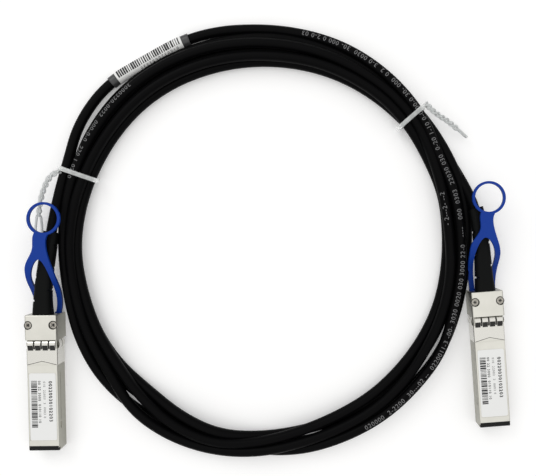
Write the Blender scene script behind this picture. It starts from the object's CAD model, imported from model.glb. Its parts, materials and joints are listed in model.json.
import bmesh
import bpy
import json
import math
import random
from mathutils import Matrix, Vector


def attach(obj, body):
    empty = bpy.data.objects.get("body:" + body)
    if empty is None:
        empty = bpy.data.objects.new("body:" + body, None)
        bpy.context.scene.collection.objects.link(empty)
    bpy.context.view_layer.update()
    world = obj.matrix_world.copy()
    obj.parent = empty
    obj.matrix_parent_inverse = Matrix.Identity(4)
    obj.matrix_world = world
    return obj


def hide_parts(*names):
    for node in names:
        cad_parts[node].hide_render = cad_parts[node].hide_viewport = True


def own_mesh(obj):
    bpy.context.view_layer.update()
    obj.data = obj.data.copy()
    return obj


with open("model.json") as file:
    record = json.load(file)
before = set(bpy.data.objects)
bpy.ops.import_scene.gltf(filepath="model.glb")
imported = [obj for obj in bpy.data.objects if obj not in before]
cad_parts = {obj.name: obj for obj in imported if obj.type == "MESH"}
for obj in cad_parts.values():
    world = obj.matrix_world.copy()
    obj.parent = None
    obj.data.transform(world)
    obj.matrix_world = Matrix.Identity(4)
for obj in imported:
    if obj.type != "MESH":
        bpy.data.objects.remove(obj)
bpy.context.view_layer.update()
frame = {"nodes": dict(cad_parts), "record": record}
nodes = frame["nodes"]
mm = 0.001

# places shared with the part
connectorLie = {
    "left": {"nose": (-98.4, -58.6, 0.0), "yaw": 0.6},
    "right": {"nose": (99.6, -48.1, 0.0), "yaw": 4.3},
}
noseY = -1.4
lyingPitch = math.atan2(1.6, 47.5 - noseY)  # nose and collar both rest on the floor
coilCentre = (0.4, 33.5)

cable = {
    "diameter": 4.5,
    "leftBoot": [(0.0, 50.0, 5.9), (0.0, 69.0, 5.9), (4.0, 93.0, 5.9)],  # along each connector
    "rightBoot": [(-0.6, 93.0, 5.9), (0.0, 69.0, 5.9), (0.0, 50.0, 5.9)],
    # past the boots: radius about the coil's centre, angle, height
    "leftLead": [
        (95.2, 169.0, 7.2), (96.2, 159.0, 5.2), (100.1, 148.5, 4.0), (101.0, 136.5, 3.1), (97.4, 124.8, 3.0),
        (97.4, 113.0, 3.0), (96.3, 103.5, 2.9), (94.8, 94.5, 2.8), (93.9, 86.0, 3.0), (93.0, 76.5, 3.6),
        (91.8, 67.0, 4.8), (90.0, 57.0, 6.2), (88.2, 47.0, 7.0), (86.3, 37.0, 7.2),
    ],
    "rightLead": [(86.2, 31.0, 2.4), (88.7, 21.0, 3.2)],
    "length": 3.03,
}

# the coiled turns: angle from +X with the bundle's inner and outer edge, and how its strands lie
coil = {
    "edges": [
        (0, 75.0, 89.6), (8, 75.4, 90.0), (18, 75.7, 90.2), (30, 76.2, 88.9), (60, 76.5, 89.3),
        (90, 76.8, 92.9), (110, 78.6, 94.6), (130, 80.8, 96.3), (150, 81.4, 95.8), (180, 83.5, 93.4),
        (195, 82.8, 94.2), (210, 83.0, 97.4), (240, 83.0, 100.2), (260, 86.2, 98.3), (270, 84.4, 97.1),
        (285, 81.1, 95.9), (300, 80.2, 95.6), (315, 79.0, 94.8), (330, 77.9, 93.3), (345, 77.2, 89.8),
        (360, 75.0, 89.6),
    ],
    "startAngle": 27.0,
    "endAngle": 42.0 - 1800.0,
    "pointsPerTurn": 30,
    "layerRise": 4.5,
    # where half the bundle is narrower than this, its second layer rises by this share for each mm less
    "narrowHalf": 4.2,
    "narrowRise": 0.12,
    # each turn's place round the rim: over the top and left, down the right, and past the crossing
    "places": [(0.2, 0.0, 0.2, 0.4, 0.6, 0.8), (0.2, 0.0, 0.4, 0.6, 0.8, 1.0), (0.0, 0.2, 0.4, 0.6, 0.8, 1.0)],
    # angle, and the share of the way from the first place to the second, then from the second to the third
    "joined": [(180, 0), (45, 0), (10, 1), (-180, 1)],
    "crossed": [(180, 0), (-75, 0), (-125, 1), (-180, 1)],
    # angle, and how far all of them have turned round the rim
    "twist": [(180, 0.12), (150, 0.10), (110, 0.08), (80, 0.10), (50, 0.14), (28, 0.20), (8, 0.14), (-20, 0.10),
              (-60, 0.0), (-85, -0.04), (-112, -0.26), (-150, -0.02), (-180, 0.12)],
    # angle, how many degrees it fades over, radius and width of each slit between strands
    "partings": [(-130.0, 10.0, 93.4, 1.0), (-34.0, 8.0, 87.6, 0.7)],
    "seed": 4,
    "wander": 0.35,
}


def placed(side, x, y, z):
    # from a connector's own frame to the row frame, millimetres to metres
    lie = connectorLie[side]
    turn = Matrix.Rotation(math.radians(lie["yaw"]), 4, "Z") @ Matrix.Rotation(lyingPitch, 4, "X")
    return (Vector(lie["nose"]) + turn @ Vector((x, y - noseY, z))) * mm


def onCoil(radius, angle, z):
    turn = math.radians(angle)
    return Vector((coilCentre[0] + radius * math.cos(turn), coilCentre[1] + radius * math.sin(turn), z)) * mm


def smoothTable(table, x):
    # eased value between neighbouring entries
    for (x0, v0), (x1, v1) in zip(table, table[1:]):
        if min(x0, x1) <= x <= max(x0, x1):
            t = (x - x0) / (x1 - x0)
            t = t * t * (3 - 2 * t)
            return v0 + (v1 - v0) * t
    return table[-1][1]


def bundleEdges(angle):
    place = angle % 360
    for low, high in zip(coil["edges"], coil["edges"][1:]):
        if low[0] <= place <= high[0]:
            t = (place - low[0]) / (high[0] - low[0])
            return low[1] + (high[1] - low[1]) * t, low[2] + (high[2] - low[2]) * t


def rimSpot(halfSpan, rise, share):
    # a point on the flat-sided ring that the strands' middles lie on; share 0 is low on the outside
    flat = max(2 * halfSpan - rise, 0.2)
    bend = math.pi * rise / 2
    total = 2 * (flat + bend)
    along = (share % 1.0) * total
    if along < bend:
        turn = along / bend * math.pi - math.pi / 2
        return flat / 2 + rise / 2 * math.cos(turn), rise / 2 + rise / 2 * math.sin(turn)
    along -= bend
    if along < flat:
        return flat / 2 - along, rise
    along -= flat
    if along < bend:
        turn = along / bend * math.pi + math.pi / 2
        return -flat / 2 + rise / 2 * math.cos(turn), rise / 2 + rise / 2 * math.sin(turn)
    along -= bend
    return -flat / 2 + along, 0.0


def coilPoints():
    # one point each few degrees, clockwise from the lead's end to the right boot's side
    random.seed(coil["seed"])
    step = 360 / coil["pointsPerTurn"]
    reachOut = 4 / (3 + math.cos(math.radians(step)))  # a quadratic spline runs inside its points
    count = round((coil["startAngle"] - coil["endAngle"]) / step)
    radius = cable["diameter"] / 2
    phases = [random.uniform(0, 2 * math.pi) for _ in range(6)]
    over, right, left = coil["places"]
    points = []
    for index in range(count + 1):
        passed = 180 - coil["startAngle"] + index * step
        strand = int(passed // 360)
        local = 180 - passed % 360
        inner, outer = bundleEdges(local)
        joined = smoothTable(coil["joined"], local)
        crossed = smoothTable(coil["crossed"], local)
        share = over[strand] + (right[strand] - over[strand]) * joined
        share += (left[strand] - right[strand]) * crossed
        share += smoothTable(coil["twist"], local)
        halfSpan = (outer - inner) / 2 - radius
        narrow = max(coil["narrowHalf"] - halfSpan, 0.0)
        rise = coil["layerRise"] * (1.0 + coil["narrowRise"] * narrow)
        across, up = rimSpot(halfSpan, rise, share)
        across += coil["wander"] * math.sin(math.radians(local) * 2 + phases[strand % 6])
        reach = (inner + outer) / 2 + across
        for angle, width, slit, gap in coil["partings"]:
            near = math.exp(-((local - angle) / width) ** 2)
            side = 1 if reach > slit else -1
            clear = slit + side * (gap / 2 + radius)
            if (clear - reach) * side > 0:
                reach += (clear - reach) * near
        points.append(onCoil(reach * reachOut, local, radius + up))
    return points


def cableRoute():
    points = [placed("left", *p) for p in cable["leftBoot"]]
    points += [onCoil(*p) for p in cable["leftLead"]]
    points += coilPoints()
    points += [onCoil(*p) for p in cable["rightLead"]]
    points += [placed("right", *p) for p in cable["rightBoot"]]
    return points


def splineCurve(name, points, radius, resolution):
    data = bpy.data.curves.new(name, "CURVE")
    data.dimensions = "3D"
    spline = data.splines.new("NURBS")
    spline.points.add(len(points) - 1)
    for point, place in zip(spline.points, points):
        point.co = (*place, 1.0)
        point.radius = radius  # kept off bevel_depth so that the curve's box is no wider than the tube
    spline.order_u = 3
    spline.use_endpoint_u = True
    spline.use_smooth = True
    data.resolution_u = resolution
    data.bevel_depth = 1.0
    data.bevel_resolution = 6
    data.use_fill_caps = True
    return linked(bpy.data.objects.new(name, data))


def lineOf(curve):
    # the spline's own evaluated line, read with its bevel off
    depth = curve.data.bevel_depth
    curve.data.bevel_depth = 0.0
    graph = bpy.context.evaluated_depsgraph_get()
    graph.update()
    mesh = bpy.data.meshes.new_from_object(curve.evaluated_get(graph))
    line = [v.co.copy() for v in mesh.vertices]
    bpy.data.meshes.remove(mesh)
    curve.data.bevel_depth = depth
    return line


class Line:
    # distance along the cable to a place, a direction, and the two ways across it
    def __init__(self, points):
        self.points = points
        self.reach = [0.0]
        for a, b in zip(points, points[1:]):
            self.reach.append(self.reach[-1] + (b - a).length)

    def at(self, distance):
        low = 0
        high = len(self.reach) - 1
        while high - low > 1:
            middle = (low + high) // 2
            if self.reach[middle] <= distance:
                low = middle
            else:
                high = middle
        a, b = self.points[low], self.points[high]
        t = (distance - self.reach[low]) / (self.reach[high] - self.reach[low])
        return a.lerp(b, t)

    def frameAt(self, distance):
        place = self.at(distance)
        along = (self.at(distance + 0.001) - self.at(distance - 0.001)).normalized()
        side = along.cross(Vector((0, 0, 1))).normalized()
        return place, along, side, side.cross(along).normalized()

    def turnedTo(self, angle):
        # how far along the cable it has wound clockwise to an angle; each full turn takes off 360
        middle = onCoil(0, 0, 0)
        wound = 200.0  # the left plug's side of the coil, before any winding
        for place, reach in zip(self.points, self.reach):
            arm = place - middle
            ahead = (wound - math.degrees(math.atan2(arm.y, arm.x))) % 360
            wound -= ahead if ahead < 180 else 0
            if wound <= angle:
                return reach
        return self.reach[-1]


def linked(piece):
    bpy.context.scene.collection.objects.link(piece)
    return piece


def meshPiece(name, verts, faces, smooth=True):
    mesh = bpy.data.meshes.new(name)
    mesh.from_pydata(verts, [], faces)
    mesh.update()
    if smooth:
        mesh.polygons.foreach_set("use_smooth", [True] * len(mesh.polygons))
    return linked(bpy.data.objects.new(name, mesh))


def makeCable():
    piece = splineCurve("cable", cableRoute(), cable["diameter"] / 2 * mm, 8)
    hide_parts("cable_coil", "cable_lead_left", "cable_lead_right")
    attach(piece, "root")
    print("cable laid")
    return piece


# wrapped label on the cable
wrapLabel = {
    "middle": 125.2, "length": 40.0, "radius": 2.85, "wall": 0.3, "ring": 40, "steps": 48,
    "clearEnd": 3.4, "clearInset": 0.06, "clearWall": 0.24, "clearSteps": 6,
    "inkLift": 0.03, "barMargin": 1.4, "barPlaces": 60,
    "bars": {"Count": 30, "Start Angle": -1.3, "Sweep": 1.7, "Thinnest": 0.3, "Widest": 0.85, "Seed": 3},
    "digits": "0100220003030", "digitSize": 1.8, "digitTurn": 0.82, "digitSpacing": 1.7, "digitStart": 1.0,
}


def sleeveAlong(name, line, start, length, radius, steps, ring, wall):
    # closed sleeve of even wall that follows the cable
    verts = []
    faces = []
    for r in (radius, radius - wall):
        for step in range(steps + 1):
            place, along, side, up = line.frameAt((start + length * step / steps) * mm)
            for k in range(ring):
                turn = 2 * math.pi * k / ring
                verts.append(place + (side * math.cos(turn) + up * math.sin(turn)) * r * mm)
    layer = (steps + 1) * ring
    for step in range(steps):
        for k in range(ring):
            a = step * ring + k
            b = step * ring + (k + 1) % ring
            faces.append((a, a + ring, b + ring, b))
            faces.append((layer + a, layer + b, layer + b + ring, layer + a + ring))
    for k in range(ring):
        a, b = k, (k + 1) % ring
        faces.append((a, b, layer + b, layer + a))
        a, b = steps * ring + k, steps * ring + (k + 1) % ring
        faces.append((a, layer + a, layer + b, b))
    return meshPiece(name, verts, faces)


def treeSockets(tree, sizes):
    # the geometry in and out, and a named input for each size
    tree.interface.new_socket("Geometry", in_out="INPUT", socket_type="NodeSocketGeometry")
    for name, value in sizes.items():
        kind = "NodeSocketInt" if isinstance(value, int) else "NodeSocketFloat"
        tree.interface.new_socket(name, in_out="INPUT", socket_type=kind).default_value = value
    tree.interface.new_socket("Material", in_out="INPUT", socket_type="NodeSocketMaterial")
    tree.interface.new_socket("Geometry", in_out="OUTPUT", socket_type="NodeSocketGeometry")
    return tree.nodes.new("NodeGroupInput"), tree.nodes.new("NodeGroupOutput")


def addNode(tree, kind, settings=None, **values):
    node = tree.nodes.new(kind)
    for name, value in (settings or {}).items():
        setattr(node, name, value)
    for name, value in values.items():
        socket = node.inputs[name.replace("_", " ")]
        if hasattr(value, "is_output"):
            tree.links.new(value, socket)
        else:
            socket.default_value = value
    return node


def mathNode(tree, operation, a, b):
    node = tree.nodes.new("ShaderNodeMath")
    node.operation = operation
    for socket, value in zip(node.inputs, (a, b)):
        if hasattr(value, "is_output"):
            tree.links.new(value, socket)
        else:
            socket.default_value = value
    return node.outputs[0]


def closeTree(tree, ends, out, geometry):
    smooth = addNode(tree, "GeometryNodeSetShadeSmooth", Geometry=geometry)
    real = addNode(tree, "GeometryNodeRealizeInstances", Geometry=smooth.outputs[0])
    dressed = addNode(tree, "GeometryNodeSetMaterial", Geometry=real.outputs[0],
                      Material=ends.outputs["Material"])
    tree.links.new(dressed.outputs[0], out.inputs[0])


def fromTree(name, carrier, tree, sizes, material):
    # run the tree on its carrier and keep only the plain mesh
    modifier = carrier.modifiers.new(name, "NODES")
    modifier.node_group = tree
    for item in tree.interface.items_tree:
        if item.in_out == "INPUT" and item.name in sizes:
            modifier[item.identifier] = sizes[item.name]
        elif item.in_out == "INPUT" and item.name == "Material":
            modifier[item.identifier] = material
    graph = bpy.context.evaluated_depsgraph_get()
    graph.update()
    mesh = bpy.data.meshes.new_from_object(carrier.evaluated_get(graph))
    carrier.modifiers.remove(modifier)
    bpy.data.objects.remove(carrier)
    mesh.name = name
    return linked(bpy.data.objects.new(name, mesh))


def openLine(name, places):
    # straight-sided carrier curve through places already read from a smooth line
    data = bpy.data.curves.new(name, "CURVE")
    data.dimensions = "3D"
    spline = data.splines.new("POLY")
    spline.points.add(len(places) - 1)
    for point, place in zip(spline.points, places):
        point.co = (*place, 1.0)
    return linked(bpy.data.objects.new(name, data))


def barTree():
    # printed bars of uneven width, bent round whatever the carrier line runs through
    tree = bpy.data.node_groups.new("barsRoundCable", "GeometryNodeTree")
    sizes = {"Count": 40, "Radius": 0.003, "Start Angle": -1.0, "Sweep": 1.0, "Thinnest": 0.0001,
             "Widest": 0.0004, "Seed": 1}
    ends, out = treeSockets(tree, sizes)
    spots = addNode(tree, "GeometryNodeCurveToPoints", {"mode": "COUNT"}, Curve=ends.outputs["Geometry"],
                    Count=ends.outputs["Count"])
    facing = addNode(tree, "FunctionNodeAxesToRotation", {"primary_axis": "Z", "secondary_axis": "X"})
    tree.links.new(spots.outputs["Tangent"], facing.inputs[0])
    facing.inputs[1].default_value = (0, 0, 1)
    arc = addNode(tree, "GeometryNodeCurveArc", {"mode": "RADIUS"}, Resolution=14,
                  Radius=ends.outputs["Radius"])
    tree.links.new(ends.outputs["Start Angle"], arc.inputs["Start Angle"])
    tree.links.new(ends.outputs["Sweep"], arc.inputs["Sweep Angle"])
    across = addNode(tree, "GeometryNodeCurvePrimitiveLine", Start=(0, -0.5, 0), End=(0, 0.5, 0))
    strip = addNode(tree, "GeometryNodeCurveToMesh", Curve=arc.outputs[0])
    tree.links.new(across.outputs[0], strip.inputs[1])
    flat = addNode(tree, "GeometryNodeInstanceOnPoints", Points=spots.outputs[0], Instance=strip.outputs[0],
                   Rotation=facing.outputs[0])
    width = addNode(tree, "FunctionNodeRandomValue", {"data_type": "FLOAT"})
    low = [k for k in width.inputs if k.name == "Min" and k.enabled][0]
    high = [k for k in width.inputs if k.name == "Max" and k.enabled][0]
    tree.links.new(ends.outputs["Thinnest"], low)
    tree.links.new(ends.outputs["Widest"], high)
    tree.links.new(ends.outputs["Seed"], width.inputs["Seed"])
    scale = addNode(tree, "ShaderNodeCombineXYZ", X=1.0, Y=1.0)
    tree.links.new([k for k in width.outputs if k.enabled][0], scale.inputs["Z"])
    tree.links.new(scale.outputs[0], flat.inputs["Scale"])
    closeTree(tree, ends, out, flat.outputs[0])
    return tree


def makeCableLabel(line):
    # white printed film between two clear laminate ends
    length = wrapLabel["length"]
    clear = wrapLabel["clearEnd"]
    radius = wrapLabel["radius"]
    ring = wrapLabel["ring"]
    start = line.turnedTo(wrapLabel["middle"]) / mm - length / 2
    film = sleeveAlong("cableLabelFilm", line, start + clear, length - 2 * clear, radius,
                       wrapLabel["steps"], ring, wrapLabel["wall"])
    ends = []
    for name, begin in (("cableLabelClearA", start), ("cableLabelClearB", start + length - clear)):
        end = sleeveAlong(name, line, begin, clear, radius - wrapLabel["clearInset"],
                          wrapLabel["clearSteps"], ring, wrapLabel["clearWall"])
        end.data.materials.append(finish["clearFilm"])
        ends.append(end)
    film.data.materials.append(finish["labelFilm"])
    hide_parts("cable_label")
    inked = radius + wrapLabel["inkLift"]
    bars = dict(wrapLabel["bars"], Radius=inked * mm)
    bars["Thinnest"] *= mm
    bars["Widest"] *= mm
    first = start + clear + wrapLabel["barMargin"]
    last = start + length - clear - wrapLabel["barMargin"]
    count = wrapLabel["barPlaces"]
    places = [line.at((first + (last - first) * k / count) * mm) for k in range(count + 1)]
    printed = fromTree("cableLabelBars", openLine("barLine", places), barTree(), bars, finish["darkInk"])
    digits = printAlong("cableLabelDigits", line, last - wrapLabel["digitStart"], wrapLabel["digits"],
                        wrapLabel["digitSize"], wrapLabel["digitTurn"], inked, "darkInk",
                        wrapLabel["digitSpacing"])
    made = [film, printed, digits] + ends
    for piece in made:
        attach(piece, "root")
    print("cable label wrapped")
    return made


def textMesh(words, size, spacing=1.0):
    data = bpy.data.curves.new("words", "FONT")
    data.body = words
    data.size = size
    data.resolution_u = 3
    data.space_character = spacing
    piece = linked(bpy.data.objects.new("words", data))
    mesh = bpy.data.meshes.new_from_object(piece.evaluated_get(bpy.context.evaluated_depsgraph_get()))
    bpy.data.objects.remove(piece)
    return mesh


def printAlong(name, line, start, words, size, turned, radius, ink, spacing=1.0):
    # marks bent round the cable, read against its run, with their tops to the coil's centre
    mesh = textMesh(words, size, spacing)
    shape = bmesh.new()
    shape.from_mesh(mesh)
    bpy.data.meshes.remove(mesh)
    bmesh.ops.triangulate(shape, faces=shape.faces[:])
    for _ in range(2):
        tall = [e for e in shape.edges if abs(e.verts[0].co.y - e.verts[1].co.y) > size * 0.3]
        bmesh.ops.subdivide_edges(shape, edges=tall, cuts=1)
        bmesh.ops.triangulate(shape, faces=shape.faces[:])
    for v in shape.verts:
        place, along, side, up = line.frameAt((start - v.co.x) * mm)
        turn = turned + (v.co.y - size * 0.35) / radius
        v.co = place + (up * math.cos(turn) + side * math.sin(turn)) * radius * mm
    mesh = bpy.data.meshes.new(name)
    shape.to_mesh(mesh)
    shape.free()
    mesh.materials.append(finish[ink])
    return linked(bpy.data.objects.new(name, mesh))


# twisted plastic ties: a band round the bundle and a twisted pair of tails
ties = {
    "left": {
        "angle": 161.0, "inner": 80.6, "outer": 99.6,
        "tail": [(-91.6, 30.5, 7.9), (-94.8, 29.6, 8.6), (-98.2, 25.4, 8.0), (-101.2, 18.6, 6.4),
                 (-103.0, 11.0, 4.6), (-103.6, 3.4, 2.6)],
        "sizes": {"Turns": 5.2, "Spread": 0.72, "Opening": 1.0, "Thickness": 0.58},
    },
    "right": {
        "angle": 41.0, "inner": 75.0, "outer": 91.8,
        "tail": [(68.6, 60.2, 7.8), (71.6, 57.0, 7.8), (75.6, 54.6, 6.6), (80.6, 51.8, 5.2), (87.6, 46.0, 3.6)],
        "sizes": {"Turns": 4.8, "Spread": 0.72, "Opening": 0.1, "Thickness": 0.58},
    },
}
tieWire = {"width": 2.0, "thick": 1.2, "top": 9.9, "places": 64, "tailPlaces": 150}


def smoothPath(points, count):
    # even places on a spline through hand-set points
    curve = splineCurve("pathTemp", points, 0.0, 12)
    curve.data.bevel_depth = 0.0
    places = lineOf(curve)
    bpy.data.objects.remove(curve)
    route = Line(places)
    return [route.at(route.reach[-1] * k / count * 0.9999) for k in range(count + 1)]


def twistTree():
    # two strands wound round the carrier line that open out towards its end
    tree = bpy.data.node_groups.new("twistedTails", "GeometryNodeTree")
    sizes = {"Turns": 4.0, "Spread": 0.0006, "Opening": 2.0, "Thickness": 0.0004}
    ends, out = treeSockets(tree, sizes)
    pair = addNode(tree, "GeometryNodeDuplicateElements", {"domain": "SPLINE"},
                   Geometry=ends.outputs["Geometry"], Amount=2)
    which = addNode(tree, "GeometryNodeCaptureAttribute")
    which.capture_items.new("INT", "which")
    tree.links.new(pair.outputs[0], which.inputs[0])
    tree.links.new(pair.outputs["Duplicate Index"], which.inputs[1])
    along = tree.nodes.new("GeometryNodeSplineParameter").outputs["Factor"]
    wound = mathNode(tree, "MULTIPLY", mathNode(tree, "MINIMUM", along, 0.78), ends.outputs["Turns"])
    turn = mathNode(tree, "ADD", mathNode(tree, "MULTIPLY", wound, 2 * math.pi),
                    mathNode(tree, "MULTIPLY", which.outputs[1], math.pi))
    opened = addNode(tree, "ShaderNodeMapRange", {"interpolation_type": "SMOOTHSTEP"}, Value=along)
    opened.inputs["From Min"].default_value = 0.66
    tree.links.new(ends.outputs["Opening"], opened.inputs["To Max"])
    reach = mathNode(tree, "MULTIPLY", mathNode(tree, "ADD", opened.outputs[0], 1.0), ends.outputs["Spread"])
    tangent = tree.nodes.new("GeometryNodeInputTangent").outputs[0]
    side = addNode(tree, "ShaderNodeVectorMath", {"operation": "CROSS_PRODUCT"})
    tree.links.new(tangent, side.inputs[0])
    side.inputs[1].default_value = (0, 0, 1)
    upward = addNode(tree, "ShaderNodeVectorMath", {"operation": "CROSS_PRODUCT"})
    tree.links.new(side.outputs[0], upward.inputs[0])
    tree.links.new(tangent, upward.inputs[1])
    shifts = []
    for direction, wave in ((side, "COSINE"), (upward, "SINE")):
        shift = addNode(tree, "ShaderNodeVectorMath", {"operation": "SCALE"})
        tree.links.new(direction.outputs[0], shift.inputs[0])
        swing = mathNode(tree, "MULTIPLY", mathNode(tree, wave, turn, 0.0), reach)
        tree.links.new(swing, shift.inputs["Scale"])
        shifts.append(shift)
    offset = addNode(tree, "ShaderNodeVectorMath", {"operation": "ADD"})
    tree.links.new(shifts[0].outputs[0], offset.inputs[0])
    tree.links.new(shifts[1].outputs[0], offset.inputs[1])
    moved = addNode(tree, "GeometryNodeSetPosition", Geometry=which.outputs[0], Offset=offset.outputs[0])
    ring = addNode(tree, "GeometryNodeCurvePrimitiveCircle", {"mode": "RADIUS"}, Resolution=12,
                   Radius=ends.outputs["Thickness"])
    strands = addNode(tree, "GeometryNodeCurveToMesh", Curve=moved.outputs[0])
    tree.links.new(ring.outputs[0], strands.inputs[1])
    strands.inputs["Fill Caps"].default_value = True
    closeTree(tree, ends, out, strands.outputs[0])
    return tree


def tieBand(tie, name):
    # a flat strip bent round the bundle, softer at its edges
    turn = math.radians(tie["angle"])
    along = Vector((-math.sin(turn), math.cos(turn), 0.0))
    outward = Vector((math.cos(turn), math.sin(turn), 0.0))
    half = (tie["outer"] - tie["inner"]) / 2 - tieWire["thick"] / 2
    middle = (tie["outer"] + tie["inner"]) / 2
    rise = tieWire["top"] - tieWire["thick"]
    verts = []
    faces = []
    count = tieWire["places"]
    # across and through the strip, as shares of its width and thickness
    profile = [(-0.5, -0.25), (-0.38, -0.5), (0.38, -0.5), (0.5, -0.25), (0.5, 0.25), (0.38, 0.5),
               (-0.38, 0.5), (-0.5, 0.25)]
    for index in range(count):
        across, up = rimSpot(half, rise, index / count)
        ahead, aheadUp = rimSpot(half, rise, (index + 0.02) / count)
        direction = Vector((ahead - across, aheadUp - up)).normalized()
        centre = onCoil(middle + across, tie["angle"], tieWire["thick"] / 2 + up)
        normal = outward * direction.y - Vector((0, 0, 1)) * direction.x
        for w, t in profile:
            verts.append(centre + along * w * tieWire["width"] * mm + normal * t * tieWire["thick"] * mm)
    size = len(profile)
    for index in range(count):
        for k in range(size):
            a = index * size + k
            b = index * size + (k + 1) % size
            c = ((index + 1) % count) * size + (k + 1) % size
            d = ((index + 1) % count) * size + k
            faces.append((a, b, c, d))
    return meshPiece(name, verts, faces)


def joinPieces(name, pieces):
    verts = []
    faces = []
    for piece in pieces:
        base = len(verts)
        verts += [v.co.copy() for v in piece.data.vertices]
        faces += [tuple(base + v for v in p.vertices) for p in piece.data.polygons]
        bpy.data.objects.remove(piece)
    return meshPiece(name, verts, faces)


def makeTie(side, tree):
    tie = ties[side]
    tail = [onCoil(0, 0, z) + Vector((x, y, 0)) * mm for x, y, z in tie["tail"]]
    places = smoothPath(tail, tieWire["tailPlaces"])
    sizes = dict(tie["sizes"])
    sizes["Spread"] *= mm
    sizes["Thickness"] *= mm
    tails = fromTree("tails", openLine("tailLine", places), tree, sizes, finish["tiePlastic"])
    piece = joinPieces("tie" + side.capitalize(), [tieBand(tie, "bandTemp"), tails])
    piece.data.materials.append(finish["tiePlastic"])
    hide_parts("tie_" + side)
    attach(piece, "root")
    print("tie", side, "twisted")
    return piece


# printed marks on the connectors' labels: plain digits and bars
housingPrint = {
    "top": 8.58, "spacing": 1.3,
    "barWidths": (0.22, 0.3, 0.5, 0.7), "barGaps": (0.2, 0.26, 0.4),
    "bars": {"from": 9.0, "to": 29.6, "left": -5.0, "right": -2.4},
    "columns": [
        {"across": -1.9, "from": 29.6, "size": 1.5, "text": "00 22 3000  010110 10", "bold": 0.03},
        {"across": 0.3, "from": 29.3, "size": 1.35, "text": "010  22003  3  0003 0", "bold": 0.0},
        {"across": 2.75, "from": 29.4, "size": 2.0, "text": "00220030102203", "bold": 0.07},
    ],
    "seed": 7,
}


def quadOn(side, verts, faces, x0, x1, y0, y1):
    base = len(verts)
    verts.extend(placed(side, x, y, housingPrint["top"]) for x, y in ((x0, y0), (x1, y0), (x1, y1), (x0, y1)))
    faces.append((base, base + 1, base + 2, base + 3))


def makeHousingPrint(side):
    verts = []
    faces = []
    random.seed(housingPrint["seed"])
    bars = housingPrint["bars"]
    y = bars["from"]
    while y < bars["to"]:
        thick = random.choice(housingPrint["barWidths"])
        quadOn(side, verts, faces, bars["left"], bars["right"], y, min(y + thick, bars["to"]))
        y += thick + random.choice(housingPrint["barGaps"])
    for column in housingPrint["columns"]:
        mesh = textMesh(column["text"], column["size"], housingPrint["spacing"])
        for shift in (0.0, column["bold"], -column["bold"]):
            base = len(verts)
            for v in mesh.vertices:
                across = column["across"] + v.co.y
                verts.append(placed(side, across + shift, column["from"] - v.co.x + shift, housingPrint["top"]))
            faces.extend(tuple(base + k for k in p.vertices) for p in mesh.polygons)
            if column["bold"] == 0.0:
                break
        bpy.data.meshes.remove(mesh)
    piece = meshPiece(side + "LabelPrint", verts, faces, smooth=False)
    piece.data.materials.append(finish["darkInk"])
    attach(piece, "root")
    return piece


# small dark things on each connector: windows and slots of the grounding spring, screw recesses, nose lip
connectorDetail = {
    "fingers": (-4.8, -1.6, 1.6, 4.8), "fingerWidth": 2.3,
    "arch": [(42.9, 8.62), (43.5, 8.64), (43.9, 8.88), (44.4, 9.1), (44.9, 9.22), (45.2, 9.25)],
    "slots": (-3.2, 0.0, 3.2), "slotWidth": 0.5, "slotEnds": (43.4, 47.3), "slotTop": 8.62,
    "backGap": (47.15, 47.5), "backGapHalf": 6.2,
    "chevron": [(-6.4, 36.5), (0.0, 38.1), (6.4, 36.5)], "chevronWidth": 0.22, "chevronTop": 8.615,
    "lip": [(-1.4, 7.2), (-1.4, 7.95), (-1.1, 8.35), (-0.7, 8.57), (0.75, 8.57), (0.75, 7.2)], "lipHalf": 6.45,
    "screws": [(-5.5, 54.1), (5.5, 54.1)], "screwTop": 9.2,
    "screwSizes": {"Ring Radius": 1.6, "Ring Wire": 0.15, "Star Inner": 0.34, "Star Outer": 1.05},
}


def screwTree():
    # the dark ring and recess of a screw, placed on every point of the carrier
    tree = bpy.data.node_groups.new("screwRecesses", "GeometryNodeTree")
    ends, out = treeSockets(tree, {"Ring Radius": 0.0018, "Ring Wire": 0.0002, "Star Inner": 0.0003,
                                   "Star Outer": 0.001})
    path = addNode(tree, "GeometryNodeCurvePrimitiveCircle", {"mode": "RADIUS"}, Resolution=36,
                   Radius=ends.outputs["Ring Radius"])
    wire = addNode(tree, "GeometryNodeCurvePrimitiveCircle", {"mode": "RADIUS"}, Resolution=8,
                   Radius=ends.outputs["Ring Wire"])
    ring = addNode(tree, "GeometryNodeCurveToMesh", Curve=path.outputs[0])
    tree.links.new(wire.outputs[0], ring.inputs[1])
    star = addNode(tree, "GeometryNodeCurveStar", Points=4, Inner_Radius=ends.outputs["Star Inner"],
                   Outer_Radius=ends.outputs["Star Outer"])
    recess = addNode(tree, "GeometryNodeFillCurve", Curve=star.outputs[0])
    both = tree.nodes.new("GeometryNodeJoinGeometry")
    tree.links.new(ring.outputs[0], both.inputs[0])
    tree.links.new(recess.outputs[0], both.inputs[0])
    placedOn = addNode(tree, "GeometryNodeInstanceOnPoints", Points=ends.outputs["Geometry"],
                       Instance=both.outputs[0])
    closeTree(tree, ends, out, placedOn.outputs[0])
    return tree


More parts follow.
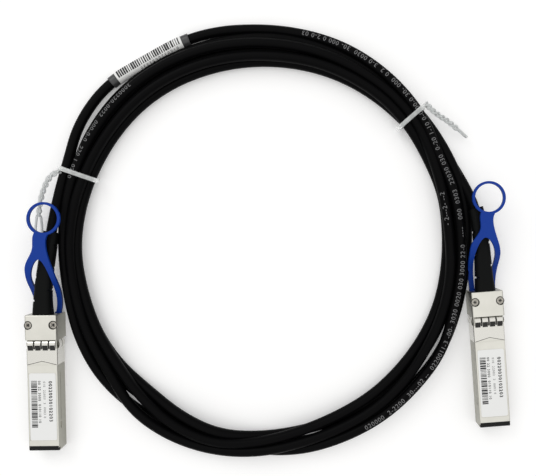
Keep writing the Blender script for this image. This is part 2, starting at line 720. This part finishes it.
def makeConnectorDetail(side, tree):
    detail = connectorDetail
    verts = []
    faces = []
    strips = [(x, detail["fingerWidth"] / 2, detail["arch"]) for x in detail["fingers"]]
    low, high = detail["slotEnds"]
    strips += [(x, detail["slotWidth"] / 2, [(low, detail["slotTop"]), (high, detail["slotTop"])])
               for x in detail["slots"]]
    strips.append((0.0, detail["backGapHalf"], [(y, detail["slotTop"]) for y in detail["backGap"]]))
    for x, half, profile in strips:
        for step, (y, z) in enumerate(profile):
            verts += [placed(side, x - half, y, z), placed(side, x + half, y, z)]
            if step:
                a = len(verts) - 4
                faces.append((a, a + 1, a + 3, a + 2))
    for (x0, y0), (x1, y1) in zip(detail["chevron"], detail["chevron"][1:]):
        a = len(verts)
        thick = detail["chevronWidth"]
        corners = ((x0, y0), (x1, y1), (x1, y1 + thick), (x0, y0 + thick))
        verts += [placed(side, x, y, detail["chevronTop"]) for x, y in corners]
        faces.append((a, a + 1, a + 2, a + 3))
    windows = meshPiece(side + "SpringWindows", verts, faces)
    windows.data.materials.append(finish["darkGap"])
    profile = detail["lip"]
    verts = [placed(side, x, y, z) for x in (-detail["lipHalf"], detail["lipHalf"]) for y, z in profile]
    size = len(profile)
    faces = [tuple(range(size)), tuple(range(2 * size - 1, size - 1, -1))]
    faces += [(k, size + k, size + (k + 1) % size, (k + 1) % size) for k in range(size)]
    lip = meshPiece(side + "NoseLip", verts, faces, smooth=False)
    lip.data.materials.append(finish["blackNylon"])
    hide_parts(side + "_nose_guide")
    spots = meshPiece("screwSpots", [placed(side, x, y, detail["screwTop"]) for x, y in detail["screws"]], [])
    sizes = {name: value * mm for name, value in detail["screwSizes"].items()}
    recesses = fromTree(side + "ScrewRecesses", spots, tree, sizes, finish["darkGap"])
    for piece, slot in ((windows, "spring_steel"), (lip, "black_nylon"), (recesses, "screw_steel")):
        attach(piece, "root")
    print(side, "connector detailed")


def foldSpring(side):
    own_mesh(nodes[side + "_return_spring"])


# printed rows on the jacket: plain digits and dashes
jacketPrint = {
    "size": 2.9, "radius": 2.285, "spacing": 1.15,
    # angle wound to where a row begins, how far round the jacket it sits, and its marks
    "rows": [
        (-62.0, -0.05, "020000  2-2200  30---02 --  0220011-3 -00- 3030 0020 030 3000 22-0   ----   000"
                       "  0303  22030 030  0-20 1-10 0-0 00-0 30- 000  0 2  3-0 0030  30- 000 0 2-0 03 "),
        (-588.0, -0.40, "3000220-0022  000-0-0  220 1 0220"),
        (-714.0, 0.35, "- 2---2- --2"),
    ],
}


def makeJacketPrint(line):
    made = []
    for index, (angle, turned, words) in enumerate(jacketPrint["rows"]):
        piece = printAlong("jacketPrint" + str(index + 1), line, line.turnedTo(angle) / mm, words,
                           jacketPrint["size"], turned, jacketPrint["radius"], "whiteInk",
                           jacketPrint["spacing"])
        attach(piece, "root")
        made.append(piece)
    print("jacket printed")
    return made


# finishes
finish = {}


def plainMaterial(name, colour, rough, metal=0.0):
    material = bpy.data.materials.new(name)
    material.use_nodes = True
    shader = material.node_tree.nodes["Principled BSDF"]
    shader.inputs["Base Color"].default_value = (*colour, 1.0)
    shader.inputs["Roughness"].default_value = rough
    shader.inputs["Metallic"].default_value = metal
    finish[name] = material
    return material


def grainGroup():
    # fine uneven surface: a height for bumps and a value for roughness
    group = bpy.data.node_groups.new("fineGrain", "ShaderNodeTree")
    group.interface.new_socket("Scale", in_out="INPUT", socket_type="NodeSocketFloat").default_value = 900
    group.interface.new_socket("Rough", in_out="INPUT", socket_type="NodeSocketFloat").default_value = 0.4
    group.interface.new_socket("Spread", in_out="INPUT", socket_type="NodeSocketFloat").default_value = 0.1
    group.interface.new_socket("Height", in_out="OUTPUT", socket_type="NodeSocketFloat")
    group.interface.new_socket("Roughness", in_out="OUTPUT", socket_type="NodeSocketFloat")
    ends = group.nodes.new("NodeGroupInput")
    out = group.nodes.new("NodeGroupOutput")
    places = group.nodes.new("ShaderNodeTexCoord")
    noise = group.nodes.new("ShaderNodeTexNoise")
    noise.inputs["Detail"].default_value = 3
    centred = group.nodes.new("ShaderNodeMath")
    centred.operation = "SUBTRACT"
    centred.inputs[1].default_value = 0.5
    scaled = group.nodes.new("ShaderNodeMath")
    scaled.operation = "MULTIPLY_ADD"
    link = group.links.new
    link(places.outputs["Object"], noise.inputs["Vector"])
    link(ends.outputs["Scale"], noise.inputs["Scale"])
    link(noise.outputs["Fac"], out.inputs["Height"])
    link(noise.outputs["Fac"], centred.inputs[0])
    link(centred.outputs[0], scaled.inputs[0])
    link(ends.outputs["Spread"], scaled.inputs[1])
    link(ends.outputs["Rough"], scaled.inputs[2])
    link(scaled.outputs[0], out.inputs["Roughness"])
    return group


def grained(name, colour, rough, metal=0.0, scale=900.0, spread=0.1, bump=0.05, depth=0.0001, gloss=0.5):
    material = plainMaterial(name, colour, rough, metal)
    material.node_tree.nodes["Principled BSDF"].inputs["Specular IOR Level"].default_value = gloss
    tree = material.node_tree
    shader = tree.nodes["Principled BSDF"]
    grain = tree.nodes.new("ShaderNodeGroup")
    grain.node_tree = bpy.data.node_groups.get("fineGrain") or grainGroup()
    grain.inputs["Scale"].default_value = scale
    grain.inputs["Rough"].default_value = rough
    grain.inputs["Spread"].default_value = spread
    raised = tree.nodes.new("ShaderNodeBump")
    raised.inputs["Strength"].default_value = bump
    raised.inputs["Distance"].default_value = depth
    tree.links.new(grain.outputs["Height"], raised.inputs["Height"])
    tree.links.new(grain.outputs["Roughness"], shader.inputs["Roughness"])
    tree.links.new(raised.outputs["Normal"], shader.inputs["Normal"])
    return material


def dullFlanks(material, colour):
    # cast side walls are left duller than the polished top and bottom
    tree = material.node_tree
    shader = tree.nodes["Principled BSDF"]
    facing = tree.nodes.new("ShaderNodeTexCoord")
    parts = tree.nodes.new("ShaderNodeSeparateXYZ")
    flat = tree.nodes.new("ShaderNodeMath")
    flat.operation = "ABSOLUTE"
    share = tree.nodes.new("ShaderNodeMapRange")
    share.inputs["From Min"].default_value = 0.35
    share.inputs["From Max"].default_value = 0.85
    cloud = tree.nodes.new("ShaderNodeTexNoise")
    cloud.inputs["Scale"].default_value = 160
    cloud.inputs["Detail"].default_value = 4
    worn = tree.nodes.new("ShaderNodeMapRange")
    worn.inputs["From Min"].default_value = 0.3
    worn.inputs["From Max"].default_value = 0.7
    worn.inputs["To Min"].default_value = 0.86
    tone = tree.nodes.new("ShaderNodeMath")
    tone.operation = "MULTIPLY"
    mixed = tree.nodes.new("ShaderNodeMix")
    mixed.data_type = "RGBA"
    colours = [k for k in mixed.inputs if k.type == "RGBA"]
    colours[0].default_value = (*colour, 1.0)
    colours[1].default_value = shader.inputs["Base Color"].default_value[:]
    link = tree.links.new
    link(facing.outputs["Normal"], parts.inputs[0])
    link(parts.outputs["Z"], flat.inputs[0])
    link(flat.outputs[0], share.inputs["Value"])
    link(facing.outputs["Object"], cloud.inputs["Vector"])
    link(cloud.outputs["Fac"], worn.inputs["Value"])
    link(share.outputs[0], tone.inputs[0])
    link(worn.outputs[0], tone.inputs[1])
    link(tone.outputs[0], mixed.inputs["Factor"])
    link([k for k in mixed.outputs if k.type == "RGBA"][0], shader.inputs["Base Color"])


def makeFinishes():
    grained("jacketBlack", (0.0018, 0.0018, 0.0021), 0.42, scale=1400, spread=0.12, bump=0.12, gloss=0.05)
    grained("nickelPlate", (0.74, 0.73, 0.675), 0.34, metal=1.0, scale=900, spread=0.16, bump=0.10)
    dullFlanks(finish["nickelPlate"], (0.36, 0.355, 0.31))
    grained("springSteel", (0.70, 0.69, 0.65), 0.24, metal=1.0, scale=500, spread=0.06, bump=0.03)
    grained("screwSteel", (0.42, 0.40, 0.36), 0.34, metal=1.0, scale=700)
    grained("bootRubber", (0.003, 0.0035, 0.0035), 0.55, scale=1200, spread=0.1, bump=0.25, gloss=0.09)
    grained("blueTab", (0.004, 0.040, 0.30), 0.42, scale=700, spread=0.06, bump=0.05, gloss=0.16)
    grained("blackNylon", (0.006, 0.006, 0.006), 0.5, scale=1000, gloss=0.2)
    grained("tiePlastic", (0.80, 0.82, 0.82), 0.35, scale=900)
    finish["tiePlastic"].node_tree.nodes["Principled BSDF"].inputs["Transmission Weight"].default_value = 0.5
    grained("labelFilm", (0.86, 0.865, 0.86), 0.42, scale=500, spread=0.04, bump=0.02, gloss=0.3)
    plainMaterial("clearFilm", (0.045, 0.045, 0.047), 0.3)
    plainMaterial("darkInk", (0.012, 0.012, 0.014), 0.6)
    plainMaterial("darkGap", (0.016, 0.016, 0.015), 0.7)
    plainMaterial("whiteInk", (0.17, 0.17, 0.175), 0.6)
    plainMaterial("boardGreen", (0.02, 0.14, 0.06), 0.4)
    plainMaterial("goldPads", (0.83, 0.62, 0.25), 0.25, metal=1.0)
    plainMaterial("pairShield", (0.75, 0.76, 0.78), 0.3, metal=1.0)
    plainMaterial("crimpMetal", (0.66, 0.55, 0.33), 0.35, metal=1.0)


slotFinish = {
    "zinc_casting": "nickelPlate", "black_nylon": "blackNylon", "spring_steel": "springSteel",
    "circuit_board": "boardGreen", "gold_pads": "goldPads", "chip_package": "blackNylon",
    "pair_shield": "pairShield", "crimp_metal": "crimpMetal", "boot_rubber": "bootRubber",
    "screw_steel": "screwSteel", "label_film": "labelFilm", "blue_tab": "blueTab",
    "cable_jacket": "jacketBlack", "tie_plastic": "tiePlastic",
}


def dressNodes():
    for part in frame["record"]["subparts"]:
        piece = nodes[part["node"]]
        piece.data.materials.clear()
        piece.data.materials.append(finish[slotFinish[part["material_slot"]]])
    print("solids dressed")


# camera, floor and light
camera = {"place": (20.4, 33.2, 290.0), "lens": 43.1, "shiftX": -0.0877, "shiftY": 0.0056}


def addCamera():
    data = bpy.data.cameras.new("camera")
    data.lens = camera["lens"]
    data.sensor_width = 36.0
    data.shift_x = camera["shiftX"]
    data.shift_y = camera["shiftY"]
    data.clip_start = 0.01
    piece = linked(bpy.data.objects.new("camera", data))
    piece.location = Vector(camera["place"]) * mm
    bpy.context.scene.camera = piece


# one soft lamp under a pale sky that is darker towards the sides
studio = {
    "floor": (0.88, 0.88, 0.885), "floorLift": 0.22,
    "sky": 1.12, "sides": 0.34,
    "lamp": {"place": (-0.55, 0.75, 0.85), "size": 0.55, "power": 2.0},
}


def floorMaterial():
    material = plainMaterial("whiteFloor", studio["floor"], 0.8)
    tree = material.node_tree
    shader = tree.nodes["Principled BSDF"]
    shader.inputs["Specular IOR Level"].default_value = 0.0
    rays = tree.nodes.new("ShaderNodeLightPath")
    seen = tree.nodes.new("ShaderNodeMath")
    seen.operation = "MAXIMUM"
    through = tree.nodes.new("ShaderNodeMath")
    through.operation = "MAXIMUM"
    lift = tree.nodes.new("ShaderNodeMath")
    lift.operation = "MULTIPLY"
    lift.inputs[1].default_value = studio["floorLift"]
    tree.links.new(rays.outputs["Is Camera Ray"], seen.inputs[0])
    tree.links.new(rays.outputs["Is Glossy Ray"], seen.inputs[1])
    tree.links.new(seen.outputs[0], through.inputs[0])
    tree.links.new(rays.outputs["Is Transmission Ray"], through.inputs[1])
    tree.links.new(through.outputs[0], lift.inputs[0])
    tree.links.new(lift.outputs[0], shader.inputs["Emission Strength"])
    shader.inputs["Emission Color"].default_value = (1, 1, 1, 1)
    return material


def addStage():
    # one sheet of white under everything
    bpy.ops.mesh.primitive_plane_add(size=4, location=(0, 0, 0))
    floor = bpy.context.object
    floor.name = "floor"
    floor.data.materials.append(floorMaterial())
    place = studio["lamp"]["place"]
    data = bpy.data.lights.new("softLamp", "AREA")
    data.size = studio["lamp"]["size"]
    data.energy = studio["lamp"]["power"]
    lamp = linked(bpy.data.objects.new("softLamp", data))
    lamp.location = place
    lamp.rotation_euler = (-Vector(place)).to_track_quat("-Z", "Y").to_euler()
    world = bpy.data.worlds.new("studio")
    world.use_nodes = True
    tree = world.node_tree
    direction = tree.nodes.new("ShaderNodeTexCoord")
    parts = tree.nodes.new("ShaderNodeSeparateXYZ")
    level = tree.nodes.new("ShaderNodeMapRange")
    level.inputs["To Min"].default_value = studio["sides"]
    level.inputs["To Max"].default_value = studio["sky"]
    tree.links.new(direction.outputs["Generated"], parts.inputs[0])
    tree.links.new(parts.outputs["Z"], level.inputs["Value"])
    tree.links.new(level.outputs[0], tree.nodes["Background"].inputs["Strength"])
    tree.nodes["Background"].inputs["Color"].default_value = (1.0, 0.995, 0.98, 1.0)
    bpy.context.scene.world = world


bpy.context.scene.view_settings.view_transform = "Standard"
addCamera()
makeFinishes()
dressNodes()
cablePiece = makeCable()
cablePiece.data.materials.append(finish["jacketBlack"])
cableLine = Line(lineOf(cablePiece))
onCable = makeCableLabel(cableLine) + makeJacketPrint(cableLine)
tailTree = twistTree()
onCable += [makeTie("left", tailTree), makeTie("right", tailTree)]
recessTree = screwTree()
for side in ("left", "right"):
    makeHousingPrint(side)
    makeConnectorDetail(side, recessTree)
    foldSpring(side)
addStage()
